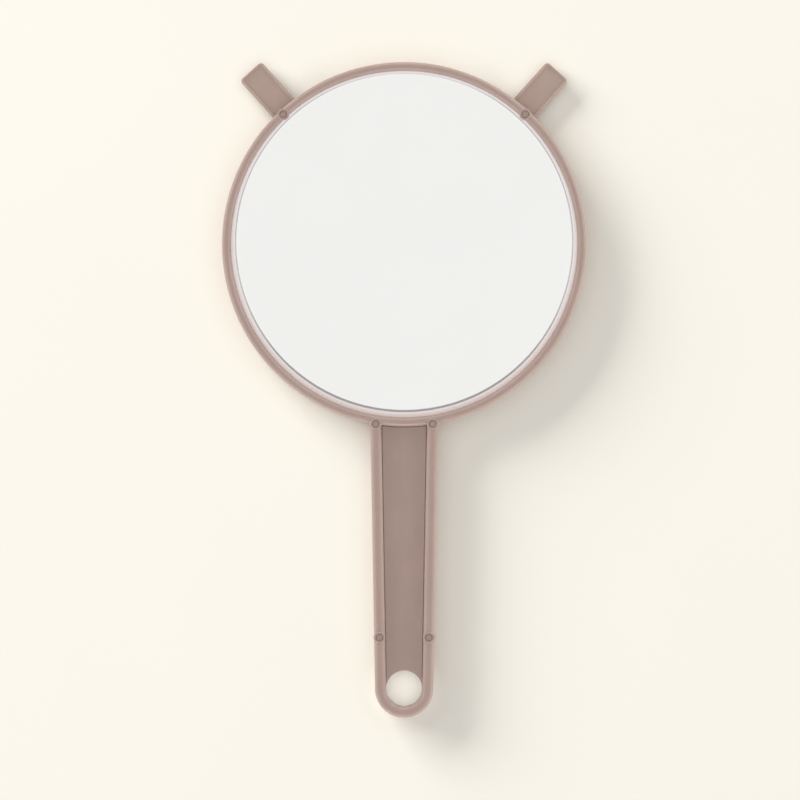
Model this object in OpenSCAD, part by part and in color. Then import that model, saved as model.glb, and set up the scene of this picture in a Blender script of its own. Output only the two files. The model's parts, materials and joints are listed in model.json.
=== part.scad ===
// Round hand mirror with a channelled handle, a hanging hole and two swing-out feet.
// Origin: centre of the head on the flat back face. +Z out of the mirror, +Y to the feet.

/* [Mirror head] */
// Outside diameter of the head
head_d = 142; // [120:1:175]
// Width of the rounded bead round the mirror
bead_w = 3.5; // [3.2:0.1:5]
// Radius of the long top edges of the bead and the rails
edge_r = 1.4; // [0.5:0.1:1.5]
// Depth of the mirror and of the handle's web below the bead
recess = 2.2; // [1:0.1:4]

/* [Mirror stack] */
// Thickness of the glass pane
glass_t = 1.8; // [1.5:0.1:3]
// Mean width of the ground bevel on the glass
bevel_w = 2; // [1.2:0.05:3]
// Height of the ground bevel where it is widest
bevel_h = 0.7; // [0.3:0.1:1.2]
// How far the bevel is ground off centre, so that it is widest towards the handle
bevel_shift = 0.9; // [0.05:0.05:1.1]
// Gap between the glass and its seat
glass_gap = 0.15; // [0.1:0.05:0.6]
// Thickness of the silver and its backing paint
silver_t = 0.1; // [0.1:0.05:0.3]
// Thickness of the foam tape
tape_t = 0.6; // [0.4:0.1:1.5]
// Width of the foam tape
tape_w = 3.2; // [2:0.1:3.5]
// Width of the shelf that carries the mirror
shelf_w = 4.5; // [4.2:0.1:8]
// Thickness of the shelf
shelf_t = 1.0; // [0.8:0.1:2]

/* [Shells] */
// Thickness of the back shell's floor
floor_t = 1.8; // [1.5:0.1:3]
// Thickness of the back shell's rim and handle wall
wall_t = 2.2; // [1.6:0.1:2.8]
// Radius of the edge round the back
back_edge_r = 1.2; // [0.4:0.1:1.4]
// Thickness of the inner ribs
rib_t = 1.2; // [0.8:0.1:2]
// Space kept between the ribs and the front frame
rib_gap = 0.3; // [0.2:0.1:1]
// Radius of the round rib inside the head
rib_ring_r = 36; // [20:1:42]
// Number of straight ribs inside the head
rib_count = 8; // [4:1:12]

/* [Handle] */
// Width across both rails where they meet the head
neck_w = 26.4; // [22:0.1:34]
// Width of each rail
rail_w = 4.3; // [4:0.1:6]
// Thickness of the web between the rails
web_t = 1.6; // [1:0.1:2.5]
// Distance from the head's edge to the centre of the hanging hole
hole_reach = 102.1; // [70:0.1:150]
// Radius of the hanging hole
hole_r = 7; // [5:0.1:9]
// How much lower than the bead the rails are
rail_drop = 0.1; // [0.05:0.05:0.6]
// Fine gap between the handle's tray and the rails, a shadow line
tray_gap = 0.1; // [0.05:0.05:0.4]
// How much further out than the rails the round end stands on each side
end_step = 0.15; // [0.12:0.01:0.3]
// Thickness of the collar round the hanging hole
collar_t = 1.4; // [1:0.1:2]
// Number of cross ribs inside the handle
cross_ribs = 3; // [1:1:5]

/* [Feet] */
// Angle of each foot from the top of the head
foot_angle = 42; // [36:1:48]
// Angle of each foot's pin from the top of the head
pin_angle = 43; // [37:1:49]
// Distance of the foot's pin from the head's edge
pin_inset = 1.95; // [1.9:0.05:2.4]
// Width of a foot
foot_w = 11.3; // [9:0.1:14]
// Distance of the pin from the foot's outer side
foot_side = 3.8; // [3:0.1:4.4]
// Distance from the pin to the foot's tip
foot_reach = 21.3; // [14:0.1:24]
// Thickness of a foot's plate
foot_t = 2.0; // [1.5:0.1:3]
// Radius of the corners at the tip
tip_r = 1.6; // [0.8:0.1:3]
// Height of the raised lip round a foot
lip_h = 0.4; // [0.2:0.1:0.8]
// Width of the raised lip round a foot
lip_w = 0.9; // [0.5:0.1:1.5]
// Clearance above and below a foot
foot_gap = 0.3; // [0.15:0.05:0.6]
// Clearance between a foot and the ends of its slot
slot_gap = 1.0; // [0.5:0.1:2]

/* [Pins] */
// Radius of the pins
pin_r = 1.42; // [1.1:0.01:1.5]
// How much smaller the fixed bores are than the pins
pin_press = 0.02; // [0.01:0.01:0.05]
// Running clearance between a foot's eye and its pin
pin_run = 0.06; // [0.02:0.01:0.1]
// Radius of the bosses round the pins
boss_r = 2.3; // [2:0.1:2.8]
// How far the bosses stand up above the bead
boss_rise = 0.12; // [0.05:0.01:0.5]
// Depth of each pin's end below the surface
pin_sink = 0.5; // [0.2:0.1:1]
// Distance of the neck pins from the head's centre along the handle, inside the head's edge
neck_pin_inset = 1.0; // [0.5:0.1:2]
// Distance of the tail pins from the hanging hole's centre
tail_pin_reach = 19.9; // [14:0.1:40]

/* [Hidden] */
$fn = 96;
eps = 0.01;
over = 1;
bury = 0.5;
boss_hide = 0.2;
head_r = head_d / 2;
well_r = head_r - bead_w;
glass_r = well_r - glass_gap;

// Levels, from the back face up
part_z = floor_t + foot_t + lip_h + 2 * foot_gap;
shelf_z = part_z + shelf_t;
silver_z = shelf_z + tape_t;
glass_z = silver_z + silver_t;
face_z = glass_z + glass_t;
top_z = face_z + recess;
foot_z = floor_t + foot_gap;
rib_h = part_z - rib_gap - floor_t + eps;

// The rails are straight lines from the neck, tangent to the round end
hole_y = -head_r - hole_reach;
rail_clear = 0.1;
end_extra = 5;
rail_mid_r = hole_r + rail_clear + rail_w / 2;
neck_x = neck_w / 2 - rail_w / 2;
neck_y = -head_r;
neck_span = norm([neck_x, neck_y - hole_y]);
taper = atan2(neck_x, neck_y - hole_y) - asin(rail_mid_r / neck_span);
rail_to_neck = sqrt(neck_span * neck_span - rail_mid_r * rail_mid_r);
rail_root = 4;
rail_len = rail_to_neck + rail_root;

// Pins: two in the feet, two at the neck, two near the tail
foot_pin_r = head_r - pin_inset;
foot_pin = [foot_pin_r * sin(pin_angle), foot_pin_r * cos(pin_angle)];
neck_pin = rail_point(neck_y + neck_pin_inset);
tail_pin = rail_point(hole_y + tail_pin_reach);
pin_len = top_z - 2 * pin_sink;
bore_r = pin_r - pin_press;

// The slots let each foot swing from its open place to inside the rim
corner_reach = norm([foot_reach, foot_w - foot_side]) + slot_gap;
slot_low = pin_angle + asin((foot_side + slot_gap) / foot_pin_r);
slot_high = pin_angle - acos((foot_pin_r * foot_pin_r + head_r * head_r - corner_reach * corner_reach)
    / (2 * foot_pin_r * head_r));

TAUPE = [0.64, 0.55, 0.51];

// Point on the right rail's middle line at a height y
function rail_point(y) = [neck_x + (y - neck_y) * tan(taper), y];

// Upright bar with both top edges rounded
module bar_section(w, h, r) {
    square([w, h - r]);
    translate([r, 0])
        square([w - 2 * r, h]);
    for (x = [r, w - r])
        translate([x, h - r])
            circle(r);
}

// Upright wall whose outer bottom edge is rounded
module wall_section(w, h, r) {
    square([w - r, h]);
    translate([0, r])
        square([w, h - r]);
    translate([w - r, r])
        intersection() {
            circle(r);
            translate([0, -r])
                square(r);
        }
}

// Two sections, drawn from the rail's middle outwards: the first is run down both rails and the
// second round the tail, a little past where the rails start
module handle_sweep() {
    root_y = neck_y + rail_root * cos(taper);
    for (side = [0, 1])
        mirror([side, 0, 0])
            translate([rail_point(root_y).x, root_y, 0])
                rotate([0, 0, -taper])
                    rotate([90, 0, 0])
                        linear_extrude(rail_len)
                            children(0);
    translate([0, hole_y, 0])
        rotate([0, 0, 180 + taper - end_extra])
            rotate_extrude(angle = 180 - 2 * (taper - end_extra))
                translate([rail_mid_r, 0])
                    children(1);
}

// Plate between the rails, from inside the head's bead to the hanging hole, reaching past their
// middle lines by a margin
module between_rails(t, margin) {
    top_y = -(well_r + head_r) / 2;
    top_x = rail_point(top_y).x + margin;
    low_x = rail_point(hole_y).x + margin;
    linear_extrude(t)
        polygon([[-top_x, top_y], [-low_x, hole_y], [low_x, hole_y], [top_x, top_y]]);
}

module hanging_bore() {
    translate([0, hole_y, -over])
        cylinder(h = top_z + 2 * over, r = hole_r);
}

module collar(z0, z1) {
    translate([0, hole_y, z0])
        cylinder(h = z1 - z0, r = hole_r + collar_t);
}

// Children at a point and at its mirror image
module both_sides(p) {
    for (side = [-1, 1])
        translate([side * p.x, p.y, 0])
            children();
}

module pin_bores(p) {
    both_sides(p)
        translate([0, 0, -over])
            cylinder(h = top_z + 2 * over, r = bore_r);
}

// Boss from one level to another, with its top edge a little rounded
module boss(z0, z1) {
    soft_r = 0.4;
    h = z1 - z0;
    translate([0, 0, z0])
        rotate_extrude() {
            square([boss_r, h - soft_r]);
            square([boss_r - soft_r, h]);
            translate([boss_r - soft_r, h - soft_r])
                intersection() {
                    circle(soft_r);
                    square(soft_r);
                }
        }
}

module rail_section(h, grow) {
    translate([-rail_w / 2 - grow, 0])
        bar_section(rail_w + 2 * grow, h, edge_r);
}

// Ring, shelf, rails, round end, web and bosses, moulded in one
module front_frame() {
    bar_h = top_z - part_z;
    color(TAUPE)
        difference() {
            union() {
                translate([0, 0, part_z])
                    rotate_extrude() {
                        translate([well_r, 0])
                            bar_section(bead_w, bar_h, edge_r);
                        translate([well_r - shelf_w, 0])
                            square([shelf_w + bury, shelf_t]);
                    }
                difference() {
                    union() {
                        translate([0, 0, part_z])
                            handle_sweep() {
                                rail_section(bar_h - rail_drop, 0);
                                rail_section(bar_h - rail_drop, end_step);
                            }
                        translate([0, 0, face_z - web_t])
                            between_rails(web_t, 0);
                        collar(part_z, face_z);
                    }
                    hanging_bore();
                    cylinder(h = top_z + over, r = well_r + bury);
                }
                for (p = [neck_pin, tail_pin])
                    both_sides(p)
                        boss(part_z + boss_hide, top_z + boss_rise);
                difference() {
                    both_sides(foot_pin)
                        boss(part_z + boss_hide, top_z + boss_rise);
                    translate([0, 0, shelf_z - eps])
                        cylinder(h = face_z + rib_gap - shelf_z, r = well_r + bury / 10);
                }
            }
            for (p = [foot_pin, neck_pin, tail_pin])
                pin_bores(p);
        }
}

// Sector of the rim between two angles from the top of the head
module rim_sector(low, high) {
    rotate([0, 0, 90 - low])
        rotate_extrude(angle = low - high)
            translate([head_r - wall_t - over, 0])
                square([wall_t + 2 * over, part_z]);
}

module tray_section(grow) {
    translate([rail_w / 2 - wall_t, 0])
        wall_section(wall_t + grow, part_z - tray_gap, back_edge_r);
}

module head_ribs() {
    difference() {
        cylinder(h = rib_h, r = rib_ring_r + rib_t / 2);
        translate([0, 0, -over])
            cylinder(h = rib_h + 2 * over, r = rib_ring_r - rib_t / 2);
    }
    for (i = [0 : rib_count - 1])
        rotate([0, 0, (i + 0.5) * 360 / rib_count])
            translate([0, -rib_t / 2, 0])
                cube([rib_ring_r, rib_t, rib_h]);
}

module handle_ribs() {
    first = tail_pin.y;
    step = (neck_y - first) / (cross_ribs + 1);
    for (i = [1 : cross_ribs])
        let (y = first + i * step, x = rail_point(y).x)
            translate([-x, y - rib_t / 2, 0])
                cube([2 * x, rib_t, rib_h]);
}

// Floor, rim, handle tray, hole collar, posts and ribs, moulded in one
module back_shell() {
    color(TAUPE)
        difference() {
            union() {
                rotate_extrude() {
                    square([head_r - wall_t + bury, floor_t]);
                    translate([head_r - wall_t, 0])
                        wall_section(wall_t, part_z, back_edge_r);
                }
                difference() {
                    union() {
                        handle_sweep() {
                            tray_section(0);
                            tray_section(end_step);
                        }
                        between_rails(floor_t, bury);
                        translate([0, hole_y, 0])
                            cylinder(h = floor_t, r = rail_mid_r + bury);
                        collar(0, part_z);
                    }
                    hanging_bore();
                    translate([0, 0, -over])
                        cylinder(h = part_z + 2 * over, r = head_r - wall_t + bury);
                }
                for (p = [neck_pin, tail_pin])
                    both_sides(p)
                        cylinder(h = part_z - boss_hide, r = boss_r);
                both_sides(foot_pin)
                    cylinder(h = floor_t, r = boss_r);
                translate([0, 0, floor_t - eps]) {
                    head_ribs();
                    handle_ribs();
                }
            }
            for (side = [0, 1])
                mirror([side, 0, 0])
                    translate([0, 0, floor_t])
                        rim_sector(slot_low, slot_high);
            for (p = [foot_pin, neck_pin, tail_pin])
                pin_bores(p);
        }
}

// Outline of a foot with its pin at the origin and its tip along +Y, cut back by an inset all round
module foot_outline(inset) {
    root_r = foot_side - inset;
    corner_r = tip_r - inset / 2;
    inner_x = foot_w - foot_side;
    tip_y = foot_reach - inset;
    translate([-root_r, 0])
        square([root_r + inner_x - inset, tip_y - corner_r]);
    translate([corner_r - root_r, 0])
        square([root_r + inner_x - inset - 2 * corner_r, tip_y]);
    for (x = [corner_r - root_r, inner_x - inset - corner_r])
        translate([x, tip_y - corner_r])
            circle(corner_r);
    circle(root_r);
    translate([0, -root_r])
        square([inner_x - foot_side, root_r + eps]);
    translate([inner_x - foot_side, 0])
        circle(root_r);
}

// Swing-out foot: a flat tab with a raised lip on its free sides and an eye for its pin
module foot(side) {
    pin_eye_r = pin_r + pin_run;
    color(TAUPE)
        translate([side * foot_pin.x, foot_pin.y, foot_z])
            mirror([side < 0 ? 0 : 1, 0, 0])
                rotate([0, 0, foot_angle])
                    difference() {
                        linear_extrude(foot_t + lip_h)
                            foot_outline(0);
                        translate([0, 0, foot_t])
                            linear_extrude(lip_h + over)
                                foot_outline(lip_w);
                        translate([0, 0, -over])
                            cylinder(h = foot_t + lip_h + 2 * over, r = pin_eye_r);
                    }
}

module foot_left() {
    foot(-1);
}

module foot_right() {
    foot(1);
}

module pin() {
    color(TAUPE)
        translate([0, 0, pin_sink])
            cylinder(h = pin_len, r = pin_r);
}

module foot_pin_left() {
    translate([-foot_pin.x, foot_pin.y, 0])
        pin();
}

module foot_pin_right() {
    translate([foot_pin.x, foot_pin.y, 0])
        pin();
}

module neck_pins() {
    both_sides(neck_pin)
        pin();
}

module tail_pins() {
    both_sides(tail_pin)
        pin();
}

module foam_tape() {
    tape_out = well_r - glass_gap - (shelf_w - tape_w) / 2;
    color("gainsboro")
        translate([0, 0, shelf_z])
            difference() {
                cylinder(h = tape_t, r = tape_out);
                translate([0, 0, -over])
                    cylinder(h = tape_t + 2 * over, r = tape_out - tape_w);
            }
}

module silver_backing() {
    color("silver")
        translate([0, 0, silver_z])
            cylinder(h = silver_t, r = glass_r);
}

// Round pane whose front edge is ground to a cone that stands a little off centre
module mirror_glass() {
    line_r = glass_r - bevel_w;
    slope = bevel_h / (bevel_w + bevel_shift);
    tool_w = bevel_w + bevel_shift + over;
    color("white")
        translate([0, 0, glass_z])
            difference() {
                cylinder(h = glass_t, r = glass_r);
                translate([0, bevel_shift, glass_t])
                    rotate_extrude()
                        polygon([[line_r, 0], [line_r + tool_w, -slope * tool_w],
                            [line_r + tool_w, over], [line_r, over]]);
            }
}

front_frame();
back_shell();
foot_left();
foot_right();
foot_pin_left();
foot_pin_right();
neck_pins();
tail_pins();
foam_tape();
silver_backing();
mirror_glass();
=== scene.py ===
"""Round hand mirror with a channelled handle and two swing-out feet: its finished pieces and scene."""

import json
import logging
import math
from abc import ABC, abstractmethod
from collections.abc import Iterable, Sequence
from dataclasses import dataclass, field
from enum import Enum
from typing import Any, Union

import bmesh
import bpy
from mathutils import Matrix, Vector


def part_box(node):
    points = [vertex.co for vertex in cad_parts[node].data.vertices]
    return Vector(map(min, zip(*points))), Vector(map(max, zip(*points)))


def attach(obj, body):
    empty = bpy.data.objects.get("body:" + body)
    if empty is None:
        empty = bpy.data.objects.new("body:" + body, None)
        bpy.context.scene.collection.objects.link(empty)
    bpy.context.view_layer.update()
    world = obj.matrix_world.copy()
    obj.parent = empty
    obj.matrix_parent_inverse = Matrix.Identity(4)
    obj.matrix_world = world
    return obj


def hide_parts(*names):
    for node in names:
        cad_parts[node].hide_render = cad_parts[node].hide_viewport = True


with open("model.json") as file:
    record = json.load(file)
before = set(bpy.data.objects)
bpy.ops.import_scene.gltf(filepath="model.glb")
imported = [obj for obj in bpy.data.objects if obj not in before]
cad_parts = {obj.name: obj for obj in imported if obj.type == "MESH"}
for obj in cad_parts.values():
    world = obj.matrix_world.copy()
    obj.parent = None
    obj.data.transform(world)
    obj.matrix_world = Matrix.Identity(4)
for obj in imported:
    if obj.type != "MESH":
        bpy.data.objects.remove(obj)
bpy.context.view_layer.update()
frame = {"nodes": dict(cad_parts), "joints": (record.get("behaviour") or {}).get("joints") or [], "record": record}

MM = 0.001
AXIS = 1e-9  # radius of a point on a turned solid's middle line
ARC_STEPS = 10
HEAD_STEPS = 288
HOLE_STEPS = 128
PIN_STEPS = 48
CREASE_ANGLE = math.radians(33)

log = logging.getLogger("hand_mirror")

Point = tuple[float, float]
Value = Union[float, int, Sequence[float], "Wire", bpy.types.NodeSocket]


class Body(str, Enum):
    """CAD bodies that a piece can ride on."""

    ROOT = "root"
    LEFT_FOOT = "foot_left_body"
    RIGHT_FOOT = "foot_right_body"


class Slot(str, Enum):
    """Material slots of the record."""

    FRAME = "frame_plastic"
    SHELL = "shell_plastic"
    FOOT = "foot_plastic"
    PIN = "pin_plastic"
    FOAM = "foam"
    SILVER = "silvering"
    PANE = "pane"


class Side(Enum):
    """Left or right of the mirror, as one looks into it."""

    LEFT = -1
    RIGHT = 1


class Merge(str, Enum):
    """Ways to join two solids."""

    ADD = "UNION"
    CUT = "DIFFERENCE"


# ---------------------------------------------------------------------------------------------
# Node trees
# ---------------------------------------------------------------------------------------------


@dataclass(frozen=True)
class Wire:
    """A socket that can be used in Python expressions, which add the matching nodes."""

    tree: "NodeMaker"
    socket: bpy.types.NodeSocket

    def _is_vector(self) -> bool:
        """Whether the socket carries a vector."""
        return self.socket.type == "VECTOR"

    def _join(self, operation: str, first: Value, second: Value) -> "Wire":
        """Adds one Math or Vector Math node.

        Args:
            operation: The node's operation.
            first: Its first value or link.
            second: Its second value or link.

        Returns:
            The node's result.
        """
        kind = "ShaderNodeVectorMath" if self._is_vector() else "ShaderNodeMath"
        node = self.tree.add(kind, {"operation": operation}, {0: first, 1: second})
        return self.tree.wire(node)

    def __add__(self, other: Value) -> "Wire":
        """Sum."""
        return self._join("ADD", self, other)

    def __radd__(self, other: Value) -> "Wire":
        """Sum with the plain value first."""
        return self._join("ADD", other, self)

    def __sub__(self, other: Value) -> "Wire":
        """Difference."""
        return self._join("SUBTRACT", self, other)

    def __rsub__(self, other: Value) -> "Wire":
        """Difference with the plain value first."""
        return self._join("SUBTRACT", other, self)

    def __mul__(self, other: Value) -> "Wire":
        """Product."""
        return self._join("MULTIPLY", self, other)

    def __rmul__(self, other: Value) -> "Wire":
        """Product with the plain value first."""
        return self._join("MULTIPLY", other, self)

    def __truediv__(self, other: Value) -> "Wire":
        """Quotient."""
        return self._join("DIVIDE", self, other)

    def __rtruediv__(self, other: Value) -> "Wire":
        """Quotient with the plain value first."""
        return self._join("DIVIDE", other, self)

    def length(self) -> "Wire":
        """Length of a vector."""
        node = self.tree.add("ShaderNodeVectorMath", {"operation": "LENGTH"}, {0: self})
        return self.tree.wire(node, "Value")

    def step(self, low: float, high: float, start: float = 0.0, end: float = 1.0) -> "Wire":
        """Smooth change from one number to another.

        Args:
            low: Value at which the change starts.
            high: Value at which it ends.
            start: Result up to low.
            end: Result from high on.

        Returns:
            The changed value.
        """
        settings = {"interpolation_type": "SMOOTHSTEP"}
        sockets = {"Value": self, "From Min": low, "From Max": high, "To Min": start, "To Max": end}
        return self.tree.wire(self.tree.add("ShaderNodeMapRange", settings, sockets), "Result")


class NodeMaker:
    """Builds the nodes of one tree."""

    def __init__(self, nodes: bpy.types.NodeTree) -> None:
        """Keeps the tree that the nodes go into."""
        self.nodes = nodes

    def wire(self, node: bpy.types.Node, output: str | int = 0) -> Wire:
        """Output of a node, ready for expressions."""
        return Wire(self, node.outputs[output])

    def add(
        self,
        kind: str,
        settings: dict[str, Any] | None = None,
        sockets: dict[str | int, Any] | None = None,
    ) -> bpy.types.Node:
        """Adds a node.

        Args:
            kind: Type of the node.
            settings: Its properties, which are set first.
            sockets: Values or links of its inputs, by name or number.

        Returns:
            The node.
        """
        node = self.nodes.nodes.new(kind)
        for name, value in (settings or {}).items():
            setattr(node, name, value)
        for key, value in (sockets or {}).items():
            self._fill(node, key, value)
        return node

    def _fill(self, node: bpy.types.Node, key: str | int, value: Any) -> None:
        """Links or sets one input, taking the enabled socket where several share a name.

        Args:
            node: The node.
            key: Name or number of the input.
            value: What it is linked or set to.
        """
        if isinstance(key, int):
            target = node.inputs[key]
        else:
            target = next(s for s in node.inputs if s.name == key and s.enabled)
        if isinstance(value, Wire):
            self.nodes.links.new(value.socket, target)
        elif isinstance(value, bpy.types.NodeSocket):
            self.nodes.links.new(value, target)
        elif target.type == "RGBA":
            target.default_value = (*value, 1.0)
        else:
            target.default_value = value

    def blend(self, first: Any, second: Any, amount: Value) -> Wire:
        """Mixes two colours.

        Args:
            first: Colour where the amount is 0.
            second: Colour where it is 1.
            amount: Share of the second colour.

        Returns:
            The mixed colour.
        """
        node = self.add("ShaderNodeMix", {"data_type": "RGBA"}, {0: amount, 6: first, 7: second})
        return self.wire(node, 2)


class SurfaceMaker(NodeMaker):
    """Builds the nodes of one material."""

    def __init__(self, name: str) -> None:
        """Makes an empty material with a Principled shader."""
        self.material = bpy.data.materials.new(name)
        self.material.use_nodes = True
        super().__init__(self.material.node_tree)
        self.nodes.nodes.clear()
        self.shader = self.add("ShaderNodeBsdfPrincipled")
        self.add("ShaderNodeOutputMaterial", None, {"Surface": self.shader.outputs["BSDF"]})

    def place(self) -> Wire:
        """Position on the object, in metres."""
        return self.wire(self.add("ShaderNodeTexCoord"), "Object")

    def noise(self, size: float, detail: float = 2.0, rough: float = 0.5, stretch: Point = (1, 1)) -> Wire:
        """Cloudy noise from 0 to 1.

        Args:
            size: Size of its lumps, in metres.
            detail: Number of finer layers.
            rough: Strength of the finer layers.
            stretch: How much longer the lumps are along X and along Y.

        Returns:
            The noise.
        """
        spread = (1 / stretch[0], 1 / stretch[1], 1.0)
        turned = self.add("ShaderNodeMapping", None, {"Vector": self.place(), "Scale": spread})
        sockets = {"Vector": turned.outputs[0], "Scale": 1 / size, "Detail": detail, "Roughness": rough}
        return self.wire(self.add("ShaderNodeTexNoise", None, sockets), "Fac")

    def cells(self, size: float) -> Wire:
        """Distance to the nearest of many scattered points, from 0 to about 1."""
        sockets = {"Vector": self.place(), "Scale": 1 / size}
        return self.wire(self.add("ShaderNodeTexVoronoi", None, sockets), "Distance")

    def bump(self, height: Wire, depth: float, strength: float = 1.0, over: Wire | None = None) -> Wire:
        """Relief of a surface.

        Args:
            height: Height from 0 to 1.
            depth: Real depth of the relief, in metres.
            strength: Strength from 0 to 1.
            over: Relief or normal that this one lies on.

        Returns:
            The changed normal.
        """
        sockets: dict[str | int, Any] = {"Height": height, "Distance": depth, "Strength": strength}
        if over is not None:
            sockets["Normal"] = over
        return self.wire(self.add("ShaderNodeBump", None, sockets), "Normal")

    def soft_edge(self, radius: float) -> Wire:
        """Normal that rounds every sharp edge and corner a little."""
        return self.wire(self.add("ShaderNodeBevel", {"samples": 6}, {"Radius": radius}), "Normal")

    def finish(self, **sockets: Any) -> bpy.types.Material:
        """Sets the shader's inputs.

        Args:
            **sockets: Values or links, with the underscores of a name standing for spaces.

        Returns:
            The finished material.
        """
        for name, value in sockets.items():
            self._fill(self.shader, name.replace("_", " "), value)
        return self.material


# ---------------------------------------------------------------------------------------------
# Finishes
# ---------------------------------------------------------------------------------------------


class Finish(ABC):
    """A finish that can be made into a material."""

    @abstractmethod
    def material(self) -> bpy.types.Material:
        """Builds the material."""


@dataclass(frozen=True)
class MouldedPlastic(Finish):
    """Pigmented moulded plastic with a spark-eroded grain."""

    name: str
    colour: tuple[float, float, float]
    roughness: float
    grain: float
    grain_depth: float
    edge: float = 0.12 * MM
    wear: float = 0.06
    bloom: float = 0.5

    def material(self) -> bpy.types.Material:
        """Plastic with a fine grain, faint pigment clouds, flow lines and rubbed high spots.

        Returns:
            The material.
        """
        make = SurfaceMaker(self.name)
        clouds = make.noise(16 * MM, 3, 0.55)
        flow = make.noise(3.2 * MM, 2, 0.5, (1, 7))
        specks = make.noise(0.5 * MM, 2, 0.6)
        grain = make.noise(self.grain, 3, 0.62)
        pits = make.cells(self.grain * 2.2)
        tone = clouds.step(0.3, 0.7, -0.5, 0.5) * 0.07 + flow.step(0.3, 0.7, -0.5, 0.5) * 0.035
        tone = tone + specks.step(0.35, 0.65, -0.5, 0.5) * 0.03
        deep = tuple(c * 0.86 for c in self.colour)
        pale = tuple(c * 1.13 + 0.006 for c in self.colour)
        colour = make.blend(deep, pale, tone * 2.4 + 0.5)
        rough = clouds.step(0.25, 0.75, -self.wear, self.wear) + grain * 0.05 + (self.roughness - 0.025)
        relief = make.bump(pits, self.grain_depth * 0.5, 0.5, make.soft_edge(self.edge))
        relief = make.bump(grain, self.grain_depth, 0.8, relief)
        relief = make.bump(flow, self.grain_depth * 1.5, 0.25, relief)
        return make.finish(
            Base_Color=colour,
            Roughness=rough,
            Normal=relief,
            IOR=1.5,
            Sheen_Weight=self.bloom,
            Sheen_Roughness=0.4,
            Sheen_Tint=(1.0, 0.94, 0.91),
        )


@dataclass(frozen=True)
class GroundPane(Finish):
    """Clear float glass whose bevel is finely ground and then polished, with painted reflections on the bevel: a
    dark line along its inner edge and a pinkish tint towards the rim.
    """

    name: str
    line_centre: Point
    line_r: float
    tint: tuple[float, float, float] = (0.985, 0.99, 0.985)
    line_reflection_tint: tuple[float, float, float] = (0.73, 0.72, 0.72)
    near_handle_reflection_tint: tuple[float, float, float] = (0.58, 0.57, 0.57)
    bevel_reflection_tint: tuple[float, float, float] = (0.95, 0.92, 0.92)
    rim_bead_reflection_tint: tuple[float, float, float] = (0.86, 0.79, 0.77)

    def material(self) -> bpy.types.Material:
        """Glass with a painted dark reflection line along the bevel's inner edge, stronger towards the handle and
        faint at the top, a painted pinkish reflection of the bead towards the rim, and a little matt on the bevel.

        Returns:
            The material.
        """
        make = SurfaceMaker(self.name)
        sockets = {
            "Vector": make.place(),
            "Location": (-self.line_centre[0], -self.line_centre[1], 0.0),
            "Scale": (1.0, 1.0, 0.0),
        }
        reach = make.wire(make.add("ShaderNodeMapping", None, sockets)).length()
        bevel = reach.step(self.line_r - 0.02 * MM, self.line_r + 0.08 * MM)
        along = make.wire(make.add("ShaderNodeSeparateXYZ", None, {"Vector": make.place()}), "Y")
        # Painted reflection: a dark line along the bevel's inner edge, wider and darker towards the handle (near)
        # and fainter at the top (far).
        near = along.step(-62 * MM, -10 * MM, 1.0, 0.0)
        far = along.step(52 * MM, 66 * MM, 1.0, 0.3)
        line = (reach - near * (0.4 * MM)).step(self.line_r + 0.3 * MM, self.line_r + 0.6 * MM, 1.0, 0.0)
        outer = reach.step(self.line_r + 0.5 * MM, self.line_r + 2.6 * MM)
        streaks = make.noise(1.6 * MM, 2, 0.5)
        smears = make.noise(22 * MM, 3, 0.6)
        # Painted reflection: the bevel turns pinkish towards the rim, standing in for the taupe bead mirrored in
        # it.
        slope = make.blend(self.bevel_reflection_tint, self.rim_bead_reflection_tint, outer)
        ground = make.blend(self.tint, slope, bevel)
        painted_line_colour = make.blend(self.line_reflection_tint, self.near_handle_reflection_tint, near)
        colour = make.blend(ground, painted_line_colour, bevel * line * far)
        rough = bevel * (streaks * 0.05 + 0.05) + smears.step(0.55, 0.8, 0.0, 0.012)
        return make.finish(
            Base_Color=colour,
            Roughness=rough,
            IOR=1.46,
            Transmission_Weight=1.0,
        )


@dataclass(frozen=True)
class Silvering(Finish):
    """Silver layer behind the glass."""

    name: str
    colour: tuple[float, float, float] = (0.97, 0.965, 0.96)

    def material(self) -> bpy.types.Material:
        """Bright metal with a hardly visible unevenness.

        Returns:
            The material.
        """
        make = SurfaceMaker(self.name)
        drift = make.noise(35 * MM, 2, 0.5)
        pale = tuple(c * 1.01 for c in self.colour)
        colour = make.blend(self.colour, pale, drift.step(0.3, 0.7))
        rough = drift.step(0.3, 0.7, 0.008, 0.016)
        return make.finish(Base_Color=colour, Roughness=rough, Metallic=1.0)


@dataclass(frozen=True)
class FoamTape(Finish):
    """Closed-cell foam with an open, pitted skin."""

    name: str
    colour: tuple[float, float, float] = (0.66, 0.66, 0.63)

    def material(self) -> bpy.types.Material:
        """Matt pale foam with pores, painted darker in the pits as painted shade.

        Returns:
            The material.
        """
        make = SurfaceMaker(self.name)
        pores = make.cells(0.45 * MM)
        patches = make.noise(4 * MM, 3, 0.6)
        # Painted shade: the pores are coloured darker in the pits.
        pore_shade = tuple(c * 0.8 for c in self.colour)
        colour = make.blend(pore_shade, self.colour, pores.step(0.1, 0.5))
        relief = make.bump(pores, 0.08 * MM, 0.9)
        return make.finish(Base_Color=colour, Roughness=patches * 0.1 + 0.8, Normal=relief)


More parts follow.
